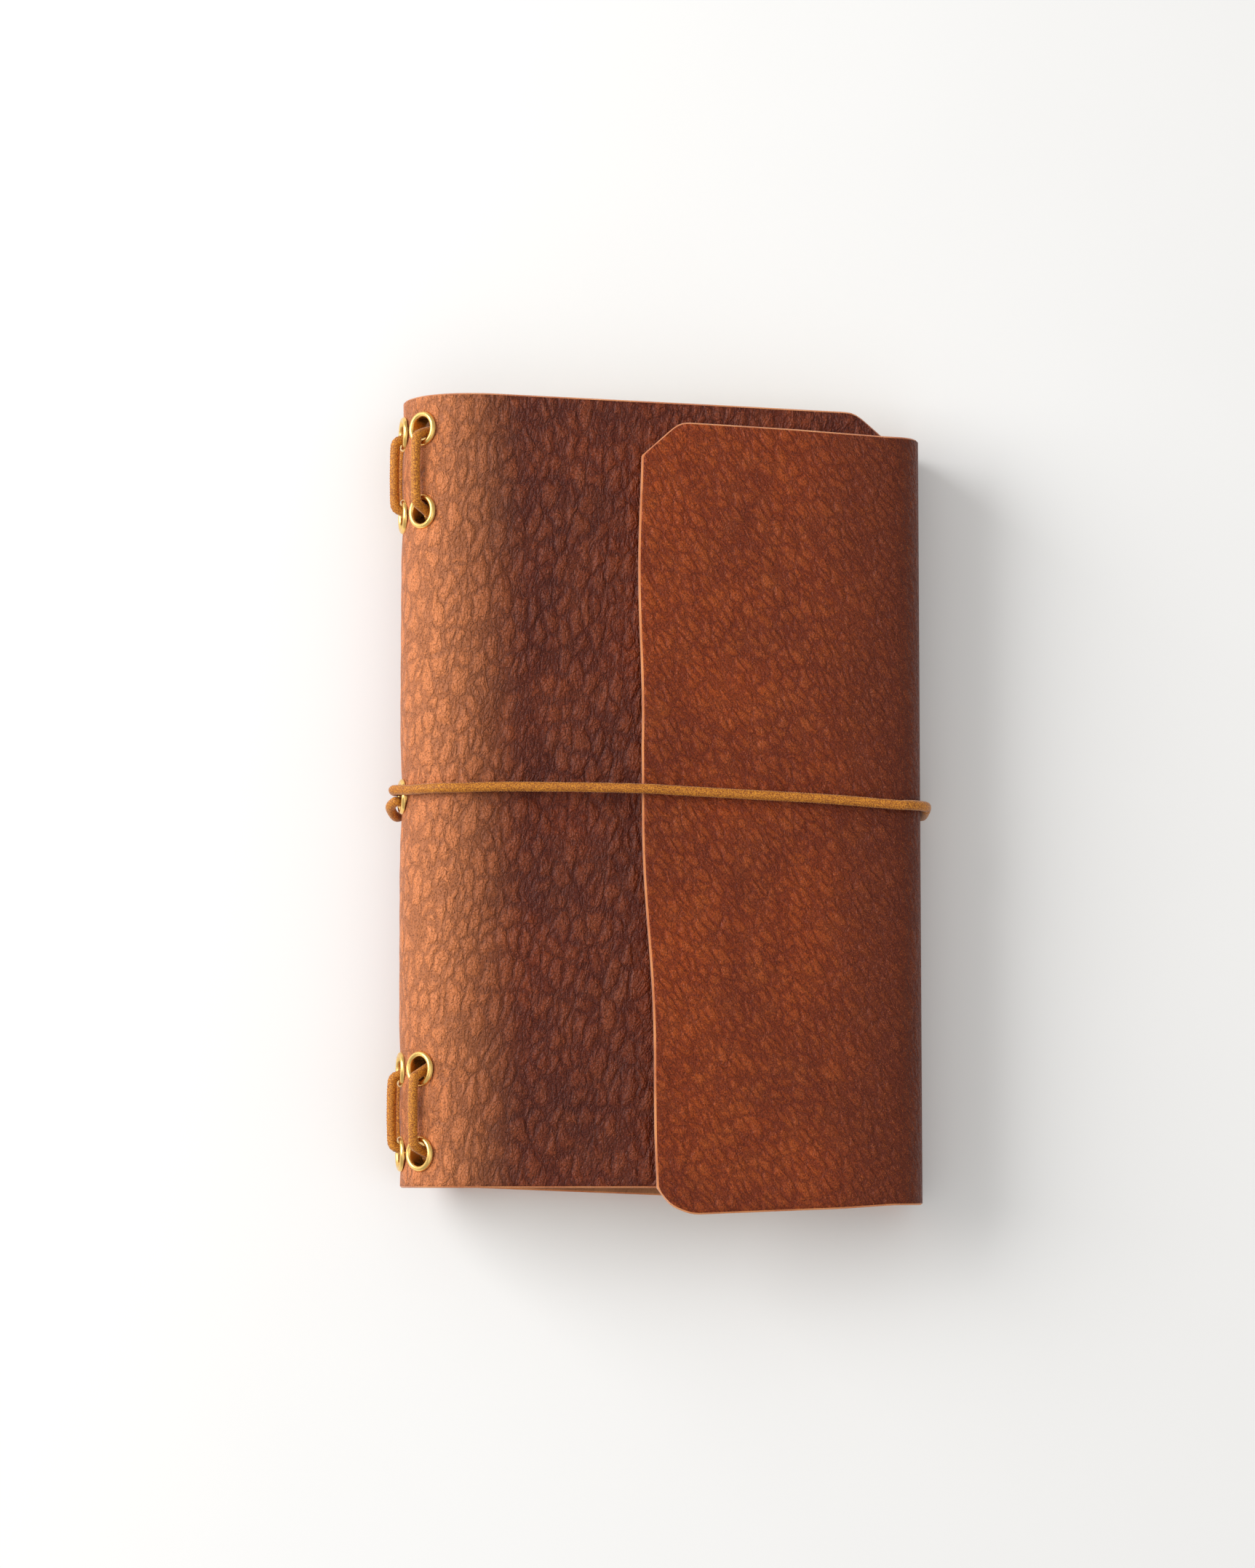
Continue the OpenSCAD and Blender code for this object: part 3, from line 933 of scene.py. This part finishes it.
@dataclass
class LeatherCover:
    """The cover's one sheet of leather, in three runs that meet where they do not bend apart."""

    layout: Layout
    finishes: LeatherFinishes
    seam_angle: float = 96.0
    seam_z: float = 10.5
    hole_r: float = 2.62
    hole_span: tuple[float, float] = (8.5, 16.0)
    pucker: float = 0.45
    pucker_reach: float = 4.2
    groove_depth: float = 2.15
    groove_half: float = 1.35
    groove_top: float = 8.0

    def puckers(self, spot: np.ndarray, y: float) -> float:
        """How the stitches and eyelets pull the spine's leather in.

        Args:
            spot: X and Z on the outside.
            y: place along the spine.

        Returns:
            Height along the outward direction.
        """
        lay = self.layout
        angle = math.degrees(math.atan2(lay.spine_r - spot[0], spot[1] - lay.spine_r))
        if not 18 < angle < 140:
            return 0.0
        pull = 0.0
        for column in Column:
            across = (angle - column.value[1]) * math.radians(lay.spine_r)
            for edge in lay.eyelet_y:
                for sign in (1, -1):
                    away = math.hypot(across, y - sign * edge)
                    pull -= self.pucker * math.exp(-(away / self.pucker_reach) ** 2)
        near = math.hypot((angle - lay.column_mid) * math.radians(lay.spine_r), y - lay.closure_y)
        pull -= self.pucker * math.exp(-(near / self.pucker_reach) ** 2)
        belly = 0.55 * math.exp(-((angle - 60) / 32) ** 2) * math.cos(math.pi * y / (2 * lay.half_h)) ** 0.5
        crease = 0.12 * math.sin(y * 0.9 + math.sin(angle * 0.2) * 2) * math.exp(-((angle - 60) / 26) ** 2)
        return 0.9 * pull + belly * min(abs(y - lay.closure_y) / 14, 1.0) + crease * 0.5

    def build_front(self) -> bpy.types.Object:
        """Upper spine, flexing strip and front panel."""
        lay = self.layout
        end = lay.width - lay.edge_gap
        knee = end - lay.chamfer[0]
        high = np.array([(-10, lay.half_h), (lay.panel_x, lay.half_h), (knee, lay.half_h - lay.taper),
                         (end, lay.half_h - lay.taper - lay.chamfer[1])])
        low = np.array([(-10, -lay.half_h), (knee, -lay.half_h), (end, -lay.half_h + lay.chamfer[1])])
        run = arc((lay.spine_r, lay.spine_r), lay.spine_r, 90 + self.seam_angle, 90)
        run += [(lay.panel_x, 2 * lay.spine_r), (end, (lay.front_d - lay.normal[0] * end) / lay.normal[1])]

        def limits(x: float, z: float) -> tuple[float, float]:
            """Lowest and highest Y at a step."""
            return read(low, x, 1), read(high, x, 1)

        def lift(spot: np.ndarray, y: float) -> float:
            """Unevenness at a place."""
            flat = unit((spot[0] - 10) / 16)
            return flat * swell(spot[0], y) + (self.puckers(spot, y) if spot[0] < lay.spine_r else 0)

        piece = Sheet(lay, "leather_front", run, limits, lift=lift).build(
            self.finishes.front, self.finishes.inside, self.finishes.cut)
        self.pierce(piece, (Column.FRONT, Column.MIDDLE), closure=True)
        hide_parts("spine", "front_hinge_strip", "front_panel")
        lay.place((lay.strip_start, 0, 25))
        lay.place((lay.panel_x, 0, 25))
        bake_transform(piece)
        return piece

    def build_back(self) -> bpy.types.Object:
        """Lower spine, back, lower fold and the foot of the fore-edge wall."""
        lay = self.layout
        low, high = lay.fold_span
        ends = np.array([(-10, -lay.half_h, lay.half_h), (lay.spine_r, -lay.half_h, lay.half_h),
                         (lay.fold_x, low, high), (lay.width, low, high)])
        run = [(lay.width, self.seam_z)] + arc((lay.fold_x, lay.fold_r), lay.fold_r, 0, -90)
        run += arc((lay.spine_r, lay.spine_r), lay.spine_r, 270, 90 + self.seam_angle)

        def limits(x: float, z: float) -> tuple[float, float]:
            """Lowest and highest Y at a step."""
            return read(ends, x, 1), read(ends, x, 2)

        def lift(spot: np.ndarray, y: float) -> float:
            """The press of the closing elastic into the back, and the spine's puckers."""
            press = -self.groove_depth * math.exp(-((y - lay.band_y) / self.groove_half) ** 4)
            fade = unit((self.groove_top - spot[1]) / 6)
            return press * fade + (self.puckers(spot, y) if spot[0] < lay.spine_r else 0)

        piece = Sheet(lay, "leather_back", run, limits, lift=lift, ends=(False, False), rows=260).build(
            self.finishes.back, self.finishes.inside, self.finishes.cut)
        self.pierce(piece, (Column.REAR,), closure=False)
        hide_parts("back_panel", "lower_fold", "fore_edge_wall")
        lay.place((lay.fold_x, 0, 0))
        lay.place((lay.width, 0, lay.fold_r))
        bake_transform(piece)
        return piece

    def build_flap(self) -> bpy.types.Object:
        """Top of the fore-edge wall, upper fold and flap."""
        lay = self.layout
        low, high = lay.fold_span
        flap_low, flap_high = lay.flap_span
        tip = lay.width - lay.flap_w
        slope_deg = math.degrees(lay.slope)
        run = [(lay.width, self.seam_z)]
        run += arc((lay.fold_x, lay.upper_z), lay.fold_r, 0, 90 - slope_deg)
        run += [(tip, (lay.flap_d - lay.normal[0] * tip) / lay.normal[1])]
        top = np.array([(tip, flap_high - lay.chamfer[1]), (tip + lay.chamfer[0], flap_high),
                        (lay.fold_x - 18, high + 1.2), (lay.fold_x, high), (lay.width, high)])
        foot = np.array([(tip, flap_low + 5.2), (tip + 2.6, flap_low + 1.8), (tip + 7.5, flap_low),
                         (lay.fold_x - 10, low - 0.7), (lay.fold_x, low), (lay.width, low)])

        run.reverse()

        def limits(x: float, z: float) -> tuple[float, float]:
            """Lowest and highest Y at a step."""
            return read(foot, x, 1), read(top, x, 1)

        def shear(x: float, y: float) -> float:
            """How the free edge leans in towards the tail."""
            reach = unit((lay.fold_x - x) / (lay.fold_x - tip))
            down = unit((8 - y) / 84)
            return lay.flap_slant * down * reach ** 2 + 0.35 * math.sin(y * 0.11) * reach ** 4

        def lift(spot: np.ndarray, y: float) -> float:
            """Unevenness at a place."""
            flat = unit((lay.fold_x - spot[0]) / 12)
            near_edge = math.exp(-((spot[0] - tip) / 6) ** 2)
            return flat * (swell(spot[0], y) + 0.12) + 0.25 * near_edge * (0.5 + 0.5 * math.sin(y * 0.09))

        piece = Sheet(lay, "leather_flap", run, limits, shear=shear, lift=lift, ends=(True, False)).build(
            self.finishes.flap, self.finishes.inside, self.finishes.cut)
        shade_by_angle(piece, 50)
        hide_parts("upper_fold", "flap")
        turned = math.radians(90 - slope_deg)
        lay.place((lay.width, 0, lay.upper_z))
        lay.place((lay.fold_x + lay.fold_r * math.cos(turned), 0,
                                lay.upper_z + lay.fold_r * math.sin(turned)))
        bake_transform(piece)
        return piece

    def pierce(self, piece: bpy.types.Object, columns: Sequence[Column], closure: bool) -> None:
        """Cut the eyelets' holes through a piece of the spine.

        Args:
            piece: the leather.
            columns: which columns it holds.
            closure: whether it holds the closing elastic's eyelet.
        """
        places = [(c.value[1], s * e) for c in columns for s in (1, -1) for e in self.layout.eyelet_y]
        if closure:
            places.append((self.layout.column_mid, self.layout.closure_y))
        verts, faces = [], []
        foot, top = self.hole_span
        outline = [(0.0, foot), (self.hole_r, foot), (self.hole_r, top), (0.0, top)]
        for angle, y in places:
            ring, quads = lathe([(max(r, 0.001), h) for r, h in outline], 32)
            turn = Matrix.Rotation(math.radians(-angle), 3, "Y")
            base = len(verts)
            middle = Vector((self.layout.spine_r, y, self.layout.spine_r))
            verts += [self.layout.place(middle + turn @ v) for v in ring]
            faces += [tuple(base + n for n in quad) for quad in quads]
        tool = new_piece("hole_tool", verts, faces, ())
        face_outward(tool)
        cutter = piece.modifiers.new("holes", "BOOLEAN")
        cutter.object, cutter.operation, cutter.solver = tool, "DIFFERENCE", "EXACT"
        apply_modifiers(piece)
        bpy.data.objects.remove(tool)
        shade_by_angle(piece, 50)

    def build(self) -> list[bpy.types.Object]:
        """Make the whole cover."""
        return [self.build_front(), self.build_back(), self.build_flap()]


# ---- eyelets ----


@dataclass
class Eyelets:
    """Brass eyelets in the spine, with their washers inside."""

    layout: Layout
    brass: bpy.types.Material
    bore: float = 2.3
    barrel: float = 2.6
    flange: float = 3.5
    seat: float = 12.75
    crown: float = 0.8
    inner_end: float = 9.9

    def outline(self) -> list[tuple[float, float]]:
        """Half of an eyelet's section: radius and distance from the spine's middle."""
        middle, half = (self.bore + self.flange) / 2, (self.flange - self.bore) / 2
        dome = [(middle + half * math.cos(t), self.seat + 0.1 + (self.crown - 0.1) * math.sin(t))
                for t in (math.pi * k / 10 for k in range(11))]
        roll = 0.21
        end = [(self.barrel + roll - roll * math.cos(t), self.inner_end + roll - roll * math.sin(t))
               for t in (math.pi * k / 6 for k in range(7))]
        return ([(self.barrel, self.seat), (self.flange - 0.1, self.seat)] + dome
                + [(self.bore, self.inner_end + 0.1), (self.bore + 0.1, self.inner_end)] + end
                + [(self.barrel + 2 * roll, self.inner_end + 0.6), (self.barrel, self.inner_end + 0.65)])

    def build_one(self, name: str, node: str, angle: float, y: float) -> bpy.types.Object:
        """Make an eyelet.

        Args:
            name: the piece's name.
            node: the CAD node it stands for.
            angle: degrees from straight up.
            y: place along the spine.

        Returns:
            The piece.
        """
        ring, faces = lathe(self.outline())
        turn = Matrix.Rotation(math.radians(-angle), 3, "Y")
        middle = Vector((self.layout.spine_r, y, self.layout.spine_r))
        piece = new_piece(name, [self.layout.place(middle + turn @ v) for v in ring], faces, (self.brass,))
        face_outward(piece)
        shade_by_angle(piece, 42)
        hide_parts(node)
        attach(piece, "book")
        return piece

    def build(self) -> list[bpy.types.Object]:
        """Make every eyelet, and dress the washers."""
        made = []
        outer, inner = self.layout.eyelet_y
        places = {"head_outer": outer, "head_inner": inner, "tail_inner": -inner, "tail_outer": -outer}
        for column in Column:
            name, angle = column.value
            for place, y in places.items():
                made.append(self.build_one(f"ring_{name}_{place}", f"eyelet_{name}_{place}", angle, y))
                dress(f"washer_{name}_{place}", self.brass)
        made.append(self.build_one("ring_closure", "eyelet_closure", self.layout.column_mid,
                                   self.layout.closure_y))
        dress("washer_closure", self.brass)
        return made


def dress(node: str, material: bpy.types.Material) -> None:
    """Give a CAD node a finish.

    Args:
        node: the node's name.
        material: the finish.
    """
    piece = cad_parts[node]
    for place in piece.material_slots:
        place.material = material


# ---- elastics ----


@dataclass
class Elastics:
    """The spine's stitches, the closing elastic, and their knots."""

    layout: Layout
    finish: bpy.types.Material
    radius: float = 1.0
    rib: float = 0.55
    run_depth: float = 7.1
    noses: dict = field(default_factory=lambda: {"front": 2, "middle": 1, "rear": 0})
    page_h: float = 70.0
    mouth: float = 13.67
    knot_y: float = 20.0
    knot_r: float = 2.1
    tail_knot_r: float = 1.9

    def ribbed(self, name: str, path: list[Vector], closed: bool, node: str) -> bpy.types.Object:
        """Make a thread-covered cord along a path.

        Args:
            name: the piece's name.
            path: its middle line, a point every half rib.
            closed: whether it joins up.
            node: the CAD node it stands for.

        Returns:
            The piece.
        """
        def radius(k: int) -> float:
            """Ribs every other point, and a slight unevenness."""
            rib = 1.0 if k % 2 else 0.925
            return self.radius * rib * (1 + 0.012 * math.sin(k * 0.37) + 0.01 * math.sin(k * 0.11 + 1))

        verts, faces = tube(path, radius, closed, 14)
        piece = new_piece(name, [self.layout.place(v) for v in verts], faces, (self.finish,))
        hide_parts(node)
        return piece

    def nose(self, name: str) -> tuple[float, float]:
        """X and Z of the hollow of a notebook's fold.

        Args:
            name: the notebook's column.

        Returns:
            The hollow's middle.
        """
        low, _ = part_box(f"notebook_cover_{name}")
        lay = self.layout
        level = self.noses[name]
        start_x = (low[0] - lay.origin.x) / MM
        foot = lay.leather + 1.2

        def top(x: float) -> float:
            """Highest Z inside the front at X."""
            return (lay.front_d - lay.leather - lay.gap - lay.normal[0] * x) / lay.normal[1]

        nose_r = (top(lay.spine_r) - foot) / 6 - 0.12
        x = start_x + nose_r
        return x, foot + (top(x) - foot) * (level + 0.5) / 3

    def stitch_path(self, column: Column) -> list[Point]:
        """The closed route of a spine elastic.

        Args:
            column: which one.

        Returns:
            Points in millimetres.
        """
        lay = self.layout
        name, angle = column.value
        x, z = self.nose(name)
        inner, outer_r = lay.spine_r - lay.leather, lay.spine_r
        mouth = lay.round_spine(angle, inner - 1.8, 0)
        gap_x, gap_z = x - mouth[0], z - mouth[2]
        out, back = lay.eyelet_y
        top = self.page_h + 1.35
        first = [(x, self.page_h / 2, z), (x, self.page_h - 1.8, z),
                 (x - 0.06 * gap_x, self.page_h, z - 0.06 * gap_z),
                 (x - 0.2 * gap_x, self.page_h + 1, z - 0.2 * gap_z),
                 (mouth[0] + 0.5 * gap_x, top, mouth[2] + 0.5 * gap_z),
                 (mouth[0] + 0.2 * gap_x, (top + out) / 2, mouth[2] + 0.2 * gap_z)]
        leave = [(0.1, inner - 1.8), (0, inner - 1), (-0.5, inner + 1), (-1.1, outer_r + 0.4),
                 (-1.7, outer_r + 1.4), (-3.2, outer_r + 1.7), (-8.25, outer_r + 1.8)]
        enter = [(3.2, outer_r + 1.7), (1.7, outer_r + 1.4), (1.1, outer_r + 0.4), (0.3, inner + 1),
                 (-0.8, inner - 1), (-2.4, inner - 2.5), (-5, self.run_depth)]
        first += [lay.round_spine(angle, d, out + y) for y, d in leave]
        first += [lay.round_spine(angle, d, back + y) for y, d in enter]
        first += [lay.round_spine(angle, self.run_depth, back / 2)]
        return first + [(p[0], -p[1], p[2]) for p in reversed(first)]

    def closure_path(self) -> list[Point]:
        """The closing elastic's route, from its eyelet round the cover and back."""
        lay = self.layout
        m, e = lay.column_mid, self.radius + 0.12
        d, loop = lay.flap_d + e, lay.spine_r + self.radius + 0.1
        mouth, gap, home, back_y = self.mouth, self.radius + 0.03, lay.closure_y, lay.band_y
        nx, nz = lay.normal
        lip, over = lay.width - lay.flap_w + 0.5, 2 * lay.spine_r + e
        around = lay.fold_r + e
        path = [lay.round_spine(m, mouth, home + gap), lay.round_spine(m, mouth + 0.7, home + gap),
                lay.round_spine(m - 8, loop + 1.0, 0.1), lay.round_spine(m - 17, loop + 0.35, 0.0)]
        path += [lay.round_spine(50 - 12.5 * k, loop, -0.2) for k in range(5)]
        path += [(20, 0, over), ((20 + lip) / 2, -0.1, over),
                 (lip, -0.4, max(over, (d - nx * lip) / nz) + 0.2)]
        path += [(lip + s, -0.4 - 0.05 * s, (d - nx * (lip + s)) / nz + 0.05) for s in (6, 20, 36)]
        for k in range(6):
            turn = math.radians(90 - math.degrees(lay.slope) - 17 * k)
            path.append((lay.fold_x + around * math.cos(turn), -3.2, lay.upper_z + around * math.sin(turn)))
        bed = self.radius + 0.05
        path += [(lay.width + e, -3.6, lay.upper_z - 2), (lay.width + e, back_y, lay.fold_r)]
        for k in range(1, 4):
            turn = math.radians(-15 * k)
            path.append((lay.fold_x + around * math.cos(turn), back_y,
                         max(bed, lay.fold_r + around * math.sin(turn))))
        path += [(x, back_y, bed) for x in (lay.width - 5, lay.width / 2, 7.5)]
        path += [lay.round_spine(147 - 11 * k, loop, -4.1) for k in range(4)]
        path += [lay.round_spine(m + 22, loop + 0.35, -4.5), lay.round_spine(m + 9, loop + 1.0, home - 2.0),
                 lay.round_spine(m, mouth + 0.7, home - gap), lay.round_spine(m, mouth, home - gap)]
        return path

    def tails_path(self) -> list[Point]:
        """The closing elastic's two ends, through its eyelet and into its knot."""
        lay, m = self.layout, self.layout.column_mid
        inner = lay.spine_r - lay.leather
        sides = []
        for sign in (1, -1):
            y = lay.closure_y + sign * (self.radius + 0.03)
            sides.append([lay.round_spine(m, self.mouth, y), lay.round_spine(m, inner + 0.6, y),
                          lay.round_spine(m, inner - 0.7, y), lay.round_spine(m + 4, inner - 1.3, y)])
        return sides[0] + [lay.round_spine(m + 8, inner - 1.9, lay.closure_y)] + sides[1][::-1]

    def knot(self, node: str, middle: Point, size: float) -> bpy.types.Object:
        """An overhand knot pulled tight.

        Args:
            node: the CAD node it stands for.
            middle: where, in millimetres.
            size: its outside radius.

        Returns:
            The piece.
        """
        turns = [2 * math.pi * k / 36 for k in range(36)]
        scale = (size - 0.55 * self.radius) / 3.2
        loop = [(middle[0] + scale * (math.sin(t) + 2 * math.sin(2 * t)),
                 middle[1] + scale * (math.cos(t) - 2 * math.cos(2 * t)),
                 middle[2] - scale * 1.5 * math.sin(3 * t)) for t in turns]
        path = smooth_path(loop, 0.28, closed=True)
        verts, faces = tube(path, lambda k: self.radius * (0.6 if k % 2 else 0.55), True, 12)
        piece = new_piece("tied_" + node, [self.layout.place(v) for v in verts], faces, (self.finish,))
        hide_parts(node)
        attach(piece, "book")
        return piece

    def build(self) -> list[bpy.types.Object]:
        """Make every cord and knot."""
        made, lay = [], self.layout
        for column in Column:
            name, angle = column.value
            path = smooth_path(self.stitch_path(column), self.rib / 2, closed=True)
            piece = self.ribbed(f"stitch_{name}", path, True, f"spine_elastic_{name}")
            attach(piece, "book")
            tied = lay.round_spine(angle, self.run_depth + 0.6, self.knot_y)
            made += [piece, self.knot(f"knot_{name}", tied, self.knot_r)]
        route = smooth_path(self.closure_path(), self.rib / 2)
        band = self.ribbed("closing_band", route, False, "closure_elastic")
        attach(band, "closure")
        home = lay.round_spine(lay.column_mid, self.mouth, lay.closure_y)
        tuple(lay.place(home))
        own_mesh(band)
        route = smooth_path(self.tails_path(), self.rib / 2)
        tails = self.ribbed("closing_tails", route, False, "closure_tails")
        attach(tails, "book")
        knot_at = lay.round_spine(lay.column_mid + 18, lay.spine_r - lay.leather - 1.9, lay.closure_y - 4)
        return made + [band, tails, self.knot("closure_knot", knot_at, self.tail_knot_r)]


# ---- notebooks ----


@dataclass
class Notebooks:
    """The refill notebooks: card covers, page blocks and staples."""

    card: bpy.types.Material
    paper: bpy.types.Material
    wire: bpy.types.Material

    def build(self) -> list[str]:
        """Dress each notebook's CAD nodes.

        Returns:
            The nodes' names.
        """
        names = []
        for column in Column:
            name = column.value[0]
            dress(f"notebook_cover_{name}", self.card)
            dress(f"notebook_pages_{name}", self.paper)
            for end in ("head", "tail"):
                dress(f"staple_{name}_{end}", self.wire)
            names.append(name)
        return names


# ---- studio ----


@dataclass
class Studio:
    """Table, lights and camera."""

    layout: Layout
    floor: bpy.types.Material
    aim: Point = (44.8, 0.6, 26.0)
    distance: float = 855.0
    tilt: float = 5.1
    view_height: float = 306.0

    def build(self) -> None:
        """Set up the scene round the cover."""
        low, high = -3.0, 3.0
        table = new_piece("table", [(low, low, 0), (high, low, 0), (high, high, 0), (low, high, 0)],
                          [(0, 1, 2, 3)], (self.floor,))
        scene = bpy.context.scene
        world = bpy.data.worlds.new("room")
        world.use_nodes = True
        world.node_tree.nodes["Background"].inputs["Color"].default_value = (1.0, 0.985, 0.965, 1)
        world.node_tree.nodes["Background"].inputs["Strength"].default_value = 0.52
        scene.world = world
        self.light("window", (-0.75, 0.28, 0.5), 0.7, 8.5)
        self.light("fill", (0.2, -0.3, 1.1), 1.2, 2.5)
        aim = self.layout.place(self.aim)
        turn = math.radians(self.tilt)
        lens = bpy.data.cameras.new("camera")
        lens.sensor_width = 36.0
        lens.lens = 36.0 * self.distance / self.view_height
        lens.clip_start, lens.clip_end = 0.05, 20.0
        camera = bpy.data.objects.new("camera", lens)
        camera.location = aim + Vector((0, -math.sin(turn), math.cos(turn))) * self.distance * MM
        camera.rotation_euler = (turn, 0.0, 0.0)
        scene.collection.objects.link(camera)
        scene.camera = camera
        scene.view_settings.view_transform = "Standard"

    def light(self, name: str, place: Point, size: float, power: float) -> None:
        """Add a square light aimed at the cover.

        Args:
            name: its name.
            place: where, in metres.
            size: side in metres.
            power: watts.
        """
        lamp = bpy.data.lights.new(name, "AREA")
        lamp.size, lamp.energy = size, power
        holder = bpy.data.objects.new(name, lamp)
        holder.location = place
        holder.rotation_euler = (-Vector(place)).to_track_quat("-Z", "Y").to_euler()
        bpy.context.scene.collection.objects.link(holder)


def main() -> None:
    """Build the cover and its studio."""
    logging.basicConfig(level=logging.INFO)
    layout = Layout()
    Studio(layout, Floor("pale_table", srgb(244, 244, 243)).build()).build()
    leather = LeatherCover(layout, LeatherFinishes.make())
    brass = Brass("polished_brass", srgb(250, 206, 122)).build()
    elastic = WoundElastic("ochre_elastic", srgb(226, 148, 40), srgb(140, 74, 10)).build()
    for piece in leather.build() + Eyelets(layout, brass).build() + Elastics(layout, elastic).build():
        log.info("built %s", piece.name)
    for name in Notebooks(Card("plain_card", srgb(150, 118, 84), srgb(110, 82, 54)).build(),
                          PageBlock("leaf_edges", srgb(236, 228, 206), srgb(176, 164, 136)).build(),
                          Wire("staple_wire", srgb(196, 196, 196)).build()).build():
        log.info("dressed the %s notebook", name)


if __name__ == "__main__":
    main()
